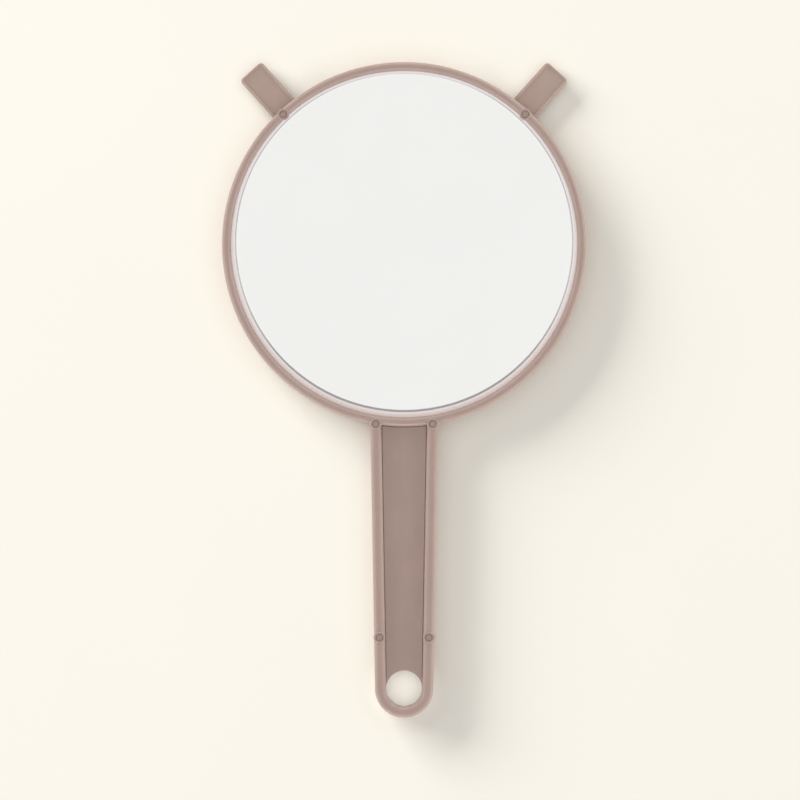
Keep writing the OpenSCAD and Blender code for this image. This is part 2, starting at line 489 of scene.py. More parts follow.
@dataclass(frozen=True)
class PaperFloor(Finish):
    """Smooth painted board under the mirror."""

    name: str
    colour: tuple[float, float, float]

    def material(self) -> bpy.types.Material:
        """Matt cream board with a faint tooth.

        Returns:
            The material.
        """
        make = SurfaceMaker(self.name)
        tooth = make.noise(0.8 * MM, 3, 0.6)
        drift = make.noise(150 * MM, 2, 0.5)
        deep = tuple(c * 0.992 for c in self.colour)
        colour = make.blend(deep, self.colour, drift.step(0.3, 0.7))
        relief = make.bump(tooth, 0.01 * MM, 0.3)
        return make.finish(
            Base_Color=colour, Roughness=tooth * 0.04 + 0.88, Normal=relief, Specular_IOR_Level=0.1
        )


# ---------------------------------------------------------------------------------------------
# Mesh work
# ---------------------------------------------------------------------------------------------


def arc(centre: Point, radius: float, start: float, end: float, steps: int = ARC_STEPS) -> list[Point]:
    """Points along an arc.

    Args:
        centre: Centre of the arc.
        radius: Its radius.
        start: First angle, in degrees.
        end: Last angle, in degrees.
        steps: Number of straight pieces.

    Returns:
        The points, both ends included.
    """
    angles = [math.radians(start + (end - start) * i / steps) for i in range(steps + 1)]
    return [(centre[0] + radius * math.cos(a), centre[1] + radius * math.sin(a)) for a in angles]


def circle(centre: Point, radius: float, steps: int) -> list[Point]:
    """Points of a full circle, the first not repeated."""
    return arc(centre, radius, 0, 360, steps)[:-1]


class Solid:
    """Closed mesh under work, and the ways to make and change it."""

    def __init__(self, name: str, mesh: bpy.types.Mesh) -> None:
        """Puts a mesh into an object at the origin."""
        self.thing = bpy.data.objects.new(name, mesh)
        bpy.context.scene.collection.objects.link(self.thing)

    @classmethod
    def lofted(cls, name: str, loops: Sequence[Sequence[Vector]], ring: bool = False) -> "Solid":
        """Skin over loops of equally many points.

        Args:
            name: Name of the solid.
            loops: Closed loops, one after another.
            ring: Whether the last loop joins the first; otherwise both are closed by a face.

        Returns:
            The solid.
        """
        work = bmesh.new()
        rows = [[work.verts.new(p) for p in loop] for loop in loops]
        count = len(rows[0])
        pairs = list(zip(rows, rows[1:] + rows[:1])) if ring else list(zip(rows, rows[1:]))
        for low, high in pairs:
            for i in range(count):
                j = (i + 1) % count
                work.faces.new((low[i], low[j], high[j], high[i]))
        if not ring:
            work.faces.new(list(reversed(rows[0])))
            work.faces.new(rows[-1])
        return cls._from_work(name, work)

    @classmethod
    def _from_work(cls, name: str, work: bmesh.types.BMesh) -> "Solid":
        """Merges doubles, turns the faces outwards and keeps the mesh."""
        bmesh.ops.remove_doubles(work, verts=work.verts, dist=1e-7)
        bmesh.ops.recalc_face_normals(work, faces=work.faces)
        mesh = bpy.data.meshes.new(name)
        work.to_mesh(mesh)
        work.free()
        return cls(name, mesh)

    @classmethod
    def turned(
        cls,
        name: str,
        section: Sequence[Point],
        centre: Point = (0, 0),
        steps: int = HEAD_STEPS,
        span: Point = (0, 360),
    ) -> "Solid":
        """Solid of revolution about an upright line.

        Args:
            name: Name of the solid.
            section: Closed outline as (radius, height); it may touch the line.
            centre: Place of the line.
            steps: Number of straight pieces round it.
            span: First and last angle, in degrees.

        Returns:
            The solid.
        """
        whole = span[1] - span[0] >= 360
        turns = steps if whole else steps + 1
        loops = []
        for i in range(turns):
            a = math.radians(span[0] + (span[1] - span[0]) * i / steps)
            loops.append([
                Vector((centre[0] + r * math.cos(a), centre[1] + r * math.sin(a), z)) for r, z in section
            ])
        return cls.lofted(name, loops, ring=whole)

    @classmethod
    def raised(cls, name: str, outlines: Sequence[tuple[float, Sequence[Point]]]) -> "Solid":
        """Solid through flat outlines at given heights.

        Args:
            name: Name of the solid.
            outlines: Heights and outlines of equally many points.

        Returns:
            The solid.
        """
        return cls.lofted(name, [[Vector((x, y, z)) for x, y in outline] for z, outline in outlines])

    def _keep(self, mesh: bpy.types.Mesh) -> "Solid":
        """Takes a new mesh instead of the old one."""
        old = self.thing.data
        self.thing.modifiers.clear()
        self.thing.data = mesh
        bpy.data.meshes.remove(old)
        return self

    def baked(self) -> "Solid":
        """Applies the modifiers."""
        graph = bpy.context.evaluated_depsgraph_get()
        return self._keep(bpy.data.meshes.new_from_object(self.thing.evaluated_get(graph)))

    def merge(self, way: Merge, *others: "Solid") -> "Solid":
        """Joins solids to this one or cuts them out of it, one by one.

        Args:
            way: Whether to join or to cut.
            *others: The solids, which are used up.

        Returns:
            This solid.
        """
        for other in others:
            step = self.thing.modifiers.new("merge", "BOOLEAN")
            step.operation = way.value
            step.solver = "MANIFOLD"
            step.object = other.thing
            self.baked()
            other.drop()
        return self

    def drop(self) -> None:
        """Removes the solid."""
        mesh = self.thing.data
        bpy.data.objects.remove(self.thing)
        if mesh.users == 0:
            bpy.data.meshes.remove(mesh)

    def mirrored(self, name: str) -> "Solid":
        """Copy on the other side of the YZ plane."""
        work = bmesh.new()
        work.from_mesh(self.thing.data)
        bmesh.ops.transform(work, matrix=Matrix.Scale(-1, 4, (1, 0, 0)), verts=work.verts)
        return Solid._from_work(name, work)

    def moved(self, matrix: Matrix) -> "Solid":
        """Applies a turn or shift to the mesh."""
        self.thing.data.transform(matrix)
        return self

    def tidy(self) -> "Solid":
        """Merges what the cuts left close together and shades by angle with flat faces kept flat.

        Returns:
            This solid.
        """
        work = bmesh.new()
        work.from_mesh(self.thing.data)
        bmesh.ops.remove_doubles(work, verts=work.verts, dist=2e-6)
        bmesh.ops.dissolve_degenerate(work, edges=work.edges, dist=1e-6)
        work.to_mesh(self.thing.data)
        work.free()
        mesh = self.thing.data
        mesh.shade_smooth()
        mesh.set_sharp_from_angle(angle=CREASE_ANGLE)
        step = self.thing.modifiers.new("even", "WEIGHTED_NORMAL")
        step.keep_sharp = True
        step.weight = 100
        return self.baked()

    def done(self, body: Body, slot: Slot, finish: Finish, replaces: Iterable[str]) -> bpy.types.Object:
        """Dresses the solid and hands it over to the frame.

        Args:
            body: Body that it rides on.
            slot: Material slot of the record; not used.
            finish: Its finish.
            replaces: CAD nodes that it stands for.

        Returns:
            The finished object.
        """
        thing = self.thing
        thing.data.materials.clear()
        thing.data.materials.append(finish.material())
        thing.data.name = thing.name
        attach(thing, body.value)
        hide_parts(*replaces)
        thing.data.calc_loop_triangles()
        log.info("%s: %d triangles, rides on %s", thing.name, len(thing.data.loop_triangles), body.value)
        return thing


class PieceTree(NodeMaker):
    """Geometry Nodes tree whose result is applied to a plain mesh."""

    def __init__(self, name: str, inputs: dict[str, tuple[str, Any]]) -> None:
        """Makes the tree.

        Args:
            name: Name of the tree.
            inputs: Type and value of each named input, apart from the geometry.
        """
        super().__init__(bpy.data.node_groups.new(name, "GeometryNodeTree"))
        self.values = inputs
        face = self.nodes.interface
        face.new_socket("Geometry", in_out="INPUT", socket_type="NodeSocketGeometry")
        for label, (kind, _) in inputs.items():
            face.new_socket(label, in_out="INPUT", socket_type=f"NodeSocket{kind}")
        face.new_socket("Geometry", in_out="OUTPUT", socket_type="NodeSocketGeometry")
        self.entry = self.add("NodeGroupInput")
        self.exit = self.add("NodeGroupOutput")

    def given(self, label: str) -> Wire:
        """Named input of the tree."""
        return self.wire(self.entry, label)

    def apply(self, shape: Wire, start: bpy.types.Mesh, name: str) -> Solid:
        """Ends the tree in Realize Instances and Set Material and applies it.

        Args:
            shape: Geometry that the tree has made.
            start: Mesh that the tree starts from.
            name: Name of the result.

        Returns:
            The result as a plain solid.
        """
        real = self.add("GeometryNodeRealizeInstances", None, {"Geometry": shape})
        dressed = self.add(
            "GeometryNodeSetMaterial",
            None,
            {"Geometry": real.outputs[0], "Material": self.given("Material")},
        )
        self.nodes.links.new(dressed.outputs[0], self.exit.inputs[0])
        solid = Solid(name, start)
        step = solid.thing.modifiers.new(name, "NODES")
        step.node_group = self.nodes
        for item in self.nodes.interface.items_tree:
            if item.in_out == "INPUT" and item.name in self.values:
                step[item.identifier] = self.values[item.name][1]
        solid.baked()
        work = bmesh.new()
        work.from_mesh(solid.thing.data)
        bmesh.ops.remove_doubles(work, verts=work.verts, dist=1e-7)
        bmesh.ops.recalc_face_normals(work, faces=work.faces)
        work.to_mesh(solid.thing.data)
        work.free()
        bpy.data.node_groups.remove(self.nodes)
        return solid


def line_mesh(name: str, points: Sequence[Sequence[float]], closed: bool) -> bpy.types.Mesh:
    """Mesh of one line.

    Args:
        name: Name of the mesh.
        points: Points of the line.
        closed: Whether its end joins its start.

    Returns:
        The mesh.
    """
    edges = [(i, i + 1) for i in range(len(points) - 1)]
    if closed:
        edges.append((len(points) - 1, 0))
    mesh = bpy.data.meshes.new(name)
    mesh.from_pydata([tuple(p) for p in points], edges, [])
    return mesh


def swept(
    name: str, path: Sequence[Point], section: Sequence[Point], material: bpy.types.Material
) -> Solid:
    """Section run along a flat path by Geometry Nodes.

    Args:
        name: Name of the solid.
        path: Path as (x, y).
        section: Closed outline as (sideways, height), to the right of the path's direction.
        material: Material of the result.

    Returns:
        The solid.
    """
    outline = line_mesh(name + "_section", [(x, -z, 0) for x, z in section], True)
    pattern = bpy.data.objects.new(name + "_section", outline)
    bpy.context.scene.collection.objects.link(pattern)
    tree = PieceTree(name, {"Section": ("Object", pattern), "Material": ("Material", material)})
    rail = tree.add("GeometryNodeMeshToCurve", None, {"Mesh": tree.given("Geometry")})
    upright = tree.add("GeometryNodeSetCurveNormal", {"mode": "Z_UP"}, {"Curve": rail.outputs[0]})
    source = tree.add("GeometryNodeObjectInfo", None, {"Object": tree.given("Section")})
    shape = tree.add("GeometryNodeMeshToCurve", None, {"Mesh": source.outputs["Geometry"]})
    skin = tree.add(
        "GeometryNodeCurveToMesh",
        None,
        {"Curve": upright.outputs[0], "Profile Curve": shape.outputs[0], "Fill Caps": True},
    )
    solid = tree.apply(tree.wire(skin), line_mesh(name, [(x, y, 0) for x, y in path], False), name)
    bpy.data.objects.remove(pattern)
    bpy.data.meshes.remove(outline)
    return solid


def scattered(
    name: str, places: Sequence[Sequence[float]], pattern: Solid, material: bpy.types.Material
) -> Solid:
    """Copies of one solid at several places, made by Geometry Nodes.

    Args:
        name: Name of the result.
        places: Where the copies stand.
        pattern: The solid, which is used up.
        material: Material of the result.

    Returns:
        The copies as one mesh.
    """
    tree = PieceTree(name, {"Pattern": ("Object", pattern.thing), "Material": ("Material", material)})
    source = tree.add("GeometryNodeObjectInfo", None, {"Object": tree.given("Pattern")})
    copies = tree.add(
        "GeometryNodeInstanceOnPoints",
        None,
        {"Points": tree.given("Geometry"), "Instance": source.outputs["Geometry"]},
    )
    start = bpy.data.meshes.new(name)
    start.from_pydata([tuple(p) for p in places], [], [])
    solid = tree.apply(tree.wire(copies), start, name)
    pattern.drop()
    return solid


# ---------------------------------------------------------------------------------------------
# Sizes that the pieces share
# ---------------------------------------------------------------------------------------------


@dataclass(frozen=True)
class Measures:
    """Sizes read from the frame, with the few that its boxes don't show."""

    head_r: float
    part_z: float
    face_z: float
    boss_top: float
    glass_z: float
    glass_r: float
    silver_z: float
    hole_y: float
    hole_r: float
    foot_z: float
    foot_top: float
    pin_r: float
    pin_low: float
    pin_high: float
    neck_pin: Point
    tail_pin: Point
    foot_pin: Point
    bead_w: float = 3.5 * MM
    edge_r: float = 1.4 * MM
    boss_rise: float = 0.12 * MM
    rail_drop: float = 0.1 * MM
    rail_w: float = 4.3 * MM
    neck_w: float = 26.4 * MM
    shelf_w: float = 4.5 * MM
    shelf_t: float = 1.0 * MM
    web_t: float = 1.6 * MM
    floor_t: float = 1.8 * MM
    wall_t: float = 2.2 * MM
    back_edge_r: float = 1.2 * MM
    boss_r: float = 2.3 * MM
    collar_t: float = 1.4 * MM
    foot_angle: float = 42.0

    @classmethod
    def from_frame(cls) -> "Measures":
        """Reads the boxes, the joints and the mounts.

        Returns:
            The sizes.
        """
        front_low, front_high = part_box("front_frame")
        glass_low, glass_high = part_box("mirror_glass")
        foot_low, foot_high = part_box("foot_right")
        pin_low, pin_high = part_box("foot_pin_right")
        neck_low, neck_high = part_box("neck_pins")
        tail_low, tail_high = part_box("tail_pins")
        hole = next(m for m in frame["record"]["mounts"] if m["kind"] == "bore")
        swing = next(j for j in frame["joints"] if j["child"] == Body.RIGHT_FOOT.value)
        pin_r = (pin_high.x - pin_low.x) / 2
        return cls(
            head_r=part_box("back_shell")[1].x,
            part_z=front_low.z,
            face_z=glass_high.z,
            boss_top=front_high.z,
            glass_z=glass_low.z,
            glass_r=glass_high.x,
            silver_z=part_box("silver_backing")[0].z,
            hole_y=hole["pos_m"][1],
            hole_r=hole["dims"]["r_mm"] * MM,
            foot_z=foot_low.z,
            foot_top=foot_high.z,
            pin_r=pin_r,
            pin_low=pin_low.z,
            pin_high=pin_high.z,
            neck_pin=(neck_high.x - pin_r, (neck_low.y + neck_high.y) / 2),
            tail_pin=(tail_high.x - pin_r, (tail_low.y + tail_high.y) / 2),
            foot_pin=(swing["pos_m"][0], swing["pos_m"][1]),
        )

    @property
    def well_r(self) -> float:
        """Radius of the well that holds the mirror."""
        return self.head_r - self.bead_w

    @property
    def bead_top(self) -> float:
        """Height of the head's bead."""
        return self.boss_top - self.boss_rise

    @property
    def rail_top(self) -> float:
        """Height of the rails."""
        return self.bead_top - self.rail_drop

    @property
    def end_r(self) -> float:
        """Radius of the rail's middle line round the hanging hole."""
        return self.hole_r + 0.1 * MM + self.rail_w / 2

    @property
    def neck_x(self) -> float:
        """Distance of the rail's middle line from the centre where it meets the head."""
        return (self.neck_w - self.rail_w) / 2

    @property
    def taper(self) -> float:
        """Angle of each rail from the handle's middle line."""
        reach = -self.head_r - self.hole_y
        return math.atan2(self.neck_x, reach) - math.asin(self.end_r / math.hypot(self.neck_x, reach))

    def rail_x(self, y: float) -> float:
        """Distance of the rail's middle line from the centre at a height."""
        return self.neck_x + (y + self.head_r) * math.tan(self.taper)

    def handle_path(self, aside: float, root_y: float, steps: int = 64) -> list[Point]:
        """Line down the right rail, round the hole and up the left rail.

        Args:
            aside: How far it lies outside the rail's middle line.
            root_y: Height at which it starts and ends.
            steps: Number of straight pieces round the hole.

        Returns:
            The points.
        """
        turn = math.degrees(self.taper)
        start = (self.rail_x(root_y) + aside / math.cos(self.taper), root_y)
        bend = arc((0, self.hole_y), self.end_r + aside, -turn, -180 + turn, steps)
        return [start, *bend, (-start[0], start[1])]


def bar_section(width: float, low: float, high: float, crown: float, seam: float) -> list[Point]:
    """Upright bar with a crowned top and a small chamfer at its foot.

    Args:
        width: Width of the bar.
        low: Height of its foot.
        high: Height of its top.
        crown: Height of the crowned part, a half ellipse.
        seam: Size of the chamfer.

    Returns:
        The outline, from -width/2 to width/2.
    """
    half = width / 2
    foot = [(-half, low + seam), (-half + seam, low), (half - seam, low), (half, low + seam)]
    dome = [(x * half, high - crown + z * crown) for x, z in arc((0, 0), 1.0, 0, 180, 2 * ARC_STEPS)]
    return foot + dome


def rod(name: str, centre: Point, radius: float, low: float, high: float, edge: float = 0.0) -> Solid:
    """Upright rod with its top edge rounded.

    Args:
        name: Name of the rod.
        centre: Its middle line.
        radius: Its radius.
        low: Height of its foot.
        high: Height of its top.
        edge: Radius of the top edge.

    Returns:
        The rod.
    """
    section = [(AXIS, low), (radius, low)]
    if edge > 0:
        section += arc((radius - edge, high - edge), edge, 0, 90, 6)
    else:
        section.append((radius, high))
    section.append((AXIS, high))
    return Solid.turned(name, section, centre, PIN_STEPS)


# ---------------------------------------------------------------------------------------------
# Sub-assemblies
# ---------------------------------------------------------------------------------------------


@dataclass
class FrontFrame:
    """Ring, shelf, rails, round end, web and bosses, moulded in one."""

    size: Measures
    finish: Finish
    seam: float = 0.14 * MM
    fillet: float = 1.5 * MM
    hole_edge: float = 0.35 * MM
    mouth: float = 0.06 * MM
    cleared: float = 0.04 * MM
    crown: float = 2.0 * MM
    groove: float = 0.34 * MM

    def ring(self) -> Solid:
        """Head's bead and the shelf that carries the mirror.

        Returns:
            The ring.
        """
        s = self.size
        mid = s.head_r - s.bead_w / 2
        bead = [(mid + x, z) for x, z in bar_section(s.bead_w, s.part_z, s.bead_top, self.crown, self.seam)]
        shelf_r = s.well_r - s.shelf_w
        shelf_z = s.part_z + s.shelf_t
        shelf = [(s.well_r, shelf_z), (shelf_r + self.seam, shelf_z), (shelf_r, shelf_z - self.seam)]
        outline = [*bead[2:], *shelf, (shelf_r, s.part_z)]
        return Solid.turned("ring", outline)

    def handle(self, material: bpy.types.Material) -> Solid:
        """Both rails and the round end in one sweep, and the web between them.

        Args:
            material: Material of the rails.

        Returns:
            The handle.
        """
        s = self.size
        section = bar_section(s.rail_w, s.part_z, s.rail_top, self.crown, self.seam)
        root_y = -s.head_r + s.bead_w * 1.1
        rails = swept("rails", s.handle_path(0, root_y), section, material)
        deep = s.face_z - self.groove
        inner = -s.rail_w / 2
        steps = [
            (s.face_z - s.web_t, inner / 2),
            (deep, inner / 2),
            (deep, inner - self.groove * 0.5),
            (s.face_z, inner - self.groove),
        ]
        web = Solid.raised("web", [(z, s.handle_path(aside, root_y)) for z, aside in steps])
        outer = s.head_r + self.groove
        over = s.face_z + 1 * MM
        cutter = [(s.head_r - 1 * MM, deep), (outer - self.groove * 0.5, deep), (outer, s.face_z)]
        web.merge(Merge.CUT, Solid.turned("root_groove", [*cutter, (outer, over), (s.head_r - 1 * MM, over)]))
        collar_r = s.hole_r + s.collar_t
        collar = rod("collar", (0, s.hole_y), collar_r, s.part_z, s.face_z - 0.01 * MM)
        return rails.merge(Merge.ADD, web, collar)

    def hanging_hole(self) -> Solid:
        """Cutter for the hanging hole, with a rounded edge towards the face.

        Returns:
            The cutter.
        """
        s = self.size
        edge = self.hole_edge
        high = s.bead_top + 2 * MM
        bend = [(s.hole_r + edge - x, z) for x, z in arc((0, s.face_z - edge), edge, 0, 90, 6)]
        low = [(AXIS, 0.0), (s.hole_r, 0.0)]
        brim = s.hole_r + edge
        section = [*low, *bend, (brim, s.face_z + 0.02 * MM), (s.hole_r, s.face_z + 0.05 * MM)]
        return Solid.turned("hole", [*section, (s.hole_r, high), (AXIS, high)], (0, s.hole_y), HOLE_STEPS)

    def neck_fillet(self) -> Solid:
        """Small concave fillet between the ring and the right rail.

        Returns:
            The fillet.
        """
        s = self.size
        f = self.fillet
        out = Vector((math.cos(s.taper), -math.sin(s.taper)))
        along = Vector((math.sin(s.taper), math.cos(s.taper)))
        base = Vector((s.neck_x, -s.head_r)) + out * (s.rail_w / 2 + f)
        b = base.dot(along)
        c = base.length_squared - (s.head_r + f) ** 2
        centre = base - along * (b + math.sqrt(b * b - c))
        to_ring = math.degrees(math.atan2(-centre.y, -centre.x))
        to_rail = math.degrees(math.atan2(-out.y, -out.x))
        if to_rail < to_ring:
            to_rail += 360
        top = s.rail_top + 0.02 * MM
        curve = arc((f + s.edge_r, top - s.edge_r), s.edge_r, 180, 90)
        deep = f + s.edge_r + 0.6 * MM
        foot = s.part_z + self.seam
        section = [(f, foot), *curve, (deep, top), (deep, s.part_z), (f + self.seam, s.part_z)]
        return Solid.turned("fillet", section, tuple(centre), 24, (to_ring, to_rail))

    def bosses(self) -> list[Solid]:
        """Six bosses, those of the feet cut back over the glass.

        Returns:
            The bosses.
        """
        s = self.size
        found = []
        for spot in (s.neck_pin, s.tail_pin, s.foot_pin):
            for side in Side:
                centre = (side.value * spot[0], spot[1])
                boss = rod("boss", centre, s.boss_r, s.part_z + 0.2 * MM, s.boss_top, 0.35 * MM)
                if spot is s.foot_pin:
                    keep = rod("keep", (0, 0), s.well_r + 0.05 * MM, s.part_z, s.face_z + 0.3 * MM)
                    boss.merge(Merge.CUT, keep)
                found.append(boss)
        return found

    def bores(self) -> list[Solid]:
        """Cutters for the six pin bores, with a small chamfer at the mouth.

        Returns:
            The cutters.
        """
        s = self.size
        r = s.pin_r + self.cleared
        high = s.boss_top
        section = [
            (AXIS, 0.0),
            (r, 0.0),
            (r, high - self.mouth),
            (r + self.mouth + 0.05 * MM, high + 0.05 * MM),
            (AXIS, high + 0.05 * MM),
        ]
        spots = (s.neck_pin, s.tail_pin, s.foot_pin)
        places = [(side.value * x, y) for x, y in spots for side in Side]
        return [Solid.turned("bore", section, place, PIN_STEPS) for place in places]

    def build(self) -> bpy.types.Object:
        """Builds and dresses the frame.

        Returns:
            The finished piece.
        """
        s = self.size
        handle = self.handle(self.finish.material())
        handle.merge(Merge.CUT, rod_wide("well", s.head_r - 2.3 * MM, 0.0, s.bead_top + 1 * MM))
        handle.merge(Merge.CUT, self.hanging_hole())
        fillet = self.neck_fillet()
        front = self.ring()
        front.merge(Merge.ADD, handle, fillet.mirrored("fillet_left"), fillet, *self.bosses())
        front.merge(Merge.CUT, *self.bores())
        front.thing.name = "front_frame_moulding"
        return front.tidy().done(Body.ROOT, Slot.FRAME, self.finish, ["front_frame"])


def rod_wide(name: str, radius: float, low: float, high: float) -> Solid:
    """Wide upright rod about the head's centre."""
    section = [(AXIS, low), (radius, low), (radius, high), (AXIS, high)]
    return Solid.turned(name, section)


@dataclass
class BackShell:
    """Floor, rim with two slots, handle tray, collar, posts, round rib and cross ribs in one."""

    size: Measures
    finish: Finish
    seam: float = 0.14 * MM
    tray_gap: float = 0.1 * MM
    rib_t: float = 1.2 * MM
    rib_gap: float = 0.3 * MM
    rib_ring_r: float = 36 * MM
    rib_count: int = 8
    cross_ribs: int = 3
    slot_gap: float = 1.0 * MM
    mouth: float = 0.2 * MM
    cleared: float = 0.03 * MM

    def head(self) -> Solid:
        """Round floor and rim.

        Returns:
            The head.
        """
        s = self.size
        e = s.back_edge_r
        wall_r = s.head_r - s.wall_t
        top = s.part_z
        section = [(AXIS, 0.0), *arc((s.head_r - e, e), e, -90, 0), (s.head_r, top - self.seam)]
        section += [(s.head_r - self.seam, top), (wall_r, top)]
        section += [(wall_r, s.floor_t + 0.3 * MM), (wall_r - 0.3 * MM, s.floor_t), (AXIS, s.floor_t)]
        return Solid.turned("back_head", section)

    def tray(self) -> Solid:
        """Tray under the handle, with the edge round its back rounded.

        Returns:
            The tray with its collar.
        """
        s = self.size
        e = s.back_edge_r
        top = s.part_z - self.tray_gap
        root_y = -s.head_r + 3 * MM
        half = s.rail_w / 2
        loops = []
        for a in range(0, ARC_STEPS + 1):
            angle = math.pi / 2 * a / ARC_STEPS
            loops.append((e - e * math.cos(angle), half - e + e * math.sin(angle)))
        loops += [(top - self.seam, half), (top, half - self.seam), (top, half - s.wall_t)]
        loops += [(s.floor_t + 0.3 * MM, half - s.wall_t), (s.floor_t, half - s.wall_t - 0.3 * MM)]
        outlines = [(z, s.handle_path(aside, root_y)) for z, aside in loops]
        tray = Solid.raised("tray", outlines)
        collar_r = s.hole_r + s.collar_t
        return tray.merge(Merge.ADD, rod("collar", (0, s.hole_y), collar_r, 0.4 * MM, s.part_z))

    def hanging_hole(self) -> Solid:
        """Cutter for the hanging hole, with a rounded edge at the back.

        Returns:
            The cutter.
        """
        s = self.size
        e = 0.5 * MM
        bend = [(s.hole_r + e - x, z) for x, z in arc((0, e), e, -90, 0, 6)]
        section = [(AXIS, -1 * MM), (s.hole_r + e, -1 * MM), *bend]
        section += [(s.hole_r, s.part_z + 1 * MM), (AXIS, s.part_z + 1 * MM)]
        return Solid.turned("hole", section, (0, s.hole_y), HOLE_STEPS)

    def ribs(self, material: bpy.types.Material) -> Solid:
        """Star of ribs inside the head, placed by Geometry Nodes.

        Args:
            material: Material of the ribs.

        Returns:
            The ribs, whose shared edges aren't closed.
        """
        s = self.size
        high = s.part_z - self.rib_gap
        low = s.floor_t - 0.2 * MM
        tree = PieceTree(
            "ribs",
            {
                "Count": ("Int", self.rib_count),
                "Reach": ("Float", self.rib_ring_r),
                "Thickness": ("Float", self.rib_t),
                "Height": ("Float", high - low),
                "Middle": ("Float", (high + low) / 2),
                "Material": ("Material", material),
            },
        )
        size = tree.add(
            "ShaderNodeCombineXYZ",
            None,
            {"X": tree.given("Reach"), "Y": tree.given("Thickness"), "Z": tree.given("Height")},
        )
        bar = tree.add("GeometryNodeMeshCube", None, {"Size": size.outputs[0]})
        away = tree.add(
            "ShaderNodeCombineXYZ", None, {"X": tree.given("Reach") * 0.5, "Z": tree.given("Middle")}
        )
        shifted = tree.add(
            "GeometryNodeTransform", None, {"Geometry": bar.outputs[0], "Translation": away.outputs[0]}
        )
        points = tree.add(
            "GeometryNodeMeshLine", None, {"Count": tree.given("Count"), "Offset": (0.0, 0.0, 0.0)}
        )
        number = tree.wire(tree.add("GeometryNodeInputIndex"))
        angle = (number + 0.5) * (2 * math.pi) / tree.given("Count")
        turn = tree.add("ShaderNodeCombineXYZ", None, {"Z": angle})
        star = tree.add(
            "GeometryNodeInstanceOnPoints",
            None,
            {
                "Points": points.outputs[0],
                "Instance": shifted.outputs[0],
                "Rotation": turn.outputs[0],
            },
        )
        start = bpy.data.meshes.new("ribs")
        return tree.apply(tree.wire(star), start, "ribs")

    def rib_ring(self) -> Solid:
        """Round rib inside the head.

        Returns:
            The rib.
        """
        s = self.size
        low, high = s.floor_t - 0.2 * MM, s.part_z - self.rib_gap
        inner, outer = self.rib_ring_r - self.rib_t / 2, self.rib_ring_r + self.rib_t / 2
        return Solid.turned("rib_ring", [(inner, low), (outer, low), (outer, high), (inner, high)])

    def cross_bars(self, material: bpy.types.Material) -> Solid:
        """Cross ribs in the handle.

        Args:
            material: Material of the ribs.

        Returns:
            The ribs.
        """
        s = self.size
        low, high = s.floor_t - 0.2 * MM, s.part_z - self.rib_gap
        step = (-s.head_r - s.tail_pin[1]) / (self.cross_ribs + 1)
        half = s.rail_x(s.tail_pin[1])
        t = self.rib_t / 2
        outline = [(-half, -t), (half, -t), (half, t), (-half, t)]
        bar = Solid.raised("bar", [(low, outline), (high, outline)])
        places = [(0, s.tail_pin[1] + i * step, 0) for i in range(1, self.cross_ribs + 1)]
        return scattered("cross_bars", places, bar, material)

    def slots(self) -> list[Solid]:
        """Cutters for the two slots that the feet swing through.

        Returns:
            The left one and the right one.
        """
        s = self.size
        pin_r = math.hypot(*s.foot_pin)
        pin_angle = math.degrees(math.atan2(*s.foot_pin))
        corner = math.hypot(Foot.reach, Foot.width - Foot.outer_side) + self.slot_gap
        wide = math.degrees(math.asin((Foot.outer_side + self.slot_gap) / pin_r))
        swing = (pin_r**2 + s.head_r**2 - corner**2) / (2 * pin_r * s.head_r)
        low, high = pin_angle + wide, pin_angle - math.degrees(math.acos(swing))
        inner, outer = s.head_r - s.wall_t - 1 * MM, s.head_r + 1 * MM
        z0, z1 = s.floor_t, s.part_z + 0.5 * MM
        section = [(inner, z0), (outer, z0), (outer, z1), (inner, z1)]
        right = Solid.turned("slot", section, (0, 0), 40, (90 - low, 90 - high))
        return [right.mirrored("slot_left"), right]

    def pin_work(self) -> tuple[list[Solid], list[Solid]]:
        """Posts round the handle's pins, and the cutters for all six bores.

        Returns:
            The posts and the cutters.
        """
        s = self.size
        r = s.pin_r + self.cleared
        out = 0.05 * MM
        section = [
            (AXIS, -out),
            (r + self.mouth + out, -out),
            (r, self.mouth),
            (r, s.part_z + 1 * MM),
            (AXIS, s.part_z + 1 * MM),
        ]
        posts, bores = [], []
        for spot in (s.neck_pin, s.tail_pin, s.foot_pin):
            for side in Side:
                centre = (side.value * spot[0], spot[1])
                bores.append(Solid.turned("bore", section, centre, PIN_STEPS))
                if spot is not s.foot_pin:
                    posts.append(rod("post", centre, s.boss_r, 0.5 * MM, s.part_z - 0.2 * MM))
        return posts, bores

    def build(self) -> bpy.types.Object:
        """Builds and dresses the shell.

        Returns:
            The finished piece.
        """
        s = self.size
        material = self.finish.material()
        posts, bores = self.pin_work()
        tray = self.tray().merge(Merge.CUT, self.hanging_hole())
        tray.merge(Merge.ADD, self.cross_bars(material))
        tray.merge(Merge.CUT, rod_wide("well", s.head_r - s.wall_t + 0.5 * MM, -1 * MM, 8 * MM))
        # The solver refuses the star of ribs, whose bars share edges, so the shell lacks it.
        shell = self.head().merge(Merge.ADD, self.ribs(material), self.rib_ring(), tray, *posts)
        shell.merge(Merge.CUT, *self.slots(), *bores)
        shell.thing.name = "back_shell_moulding"
        return shell.tidy().done(Body.ROOT, Slot.SHELL, self.finish, ["back_shell"])


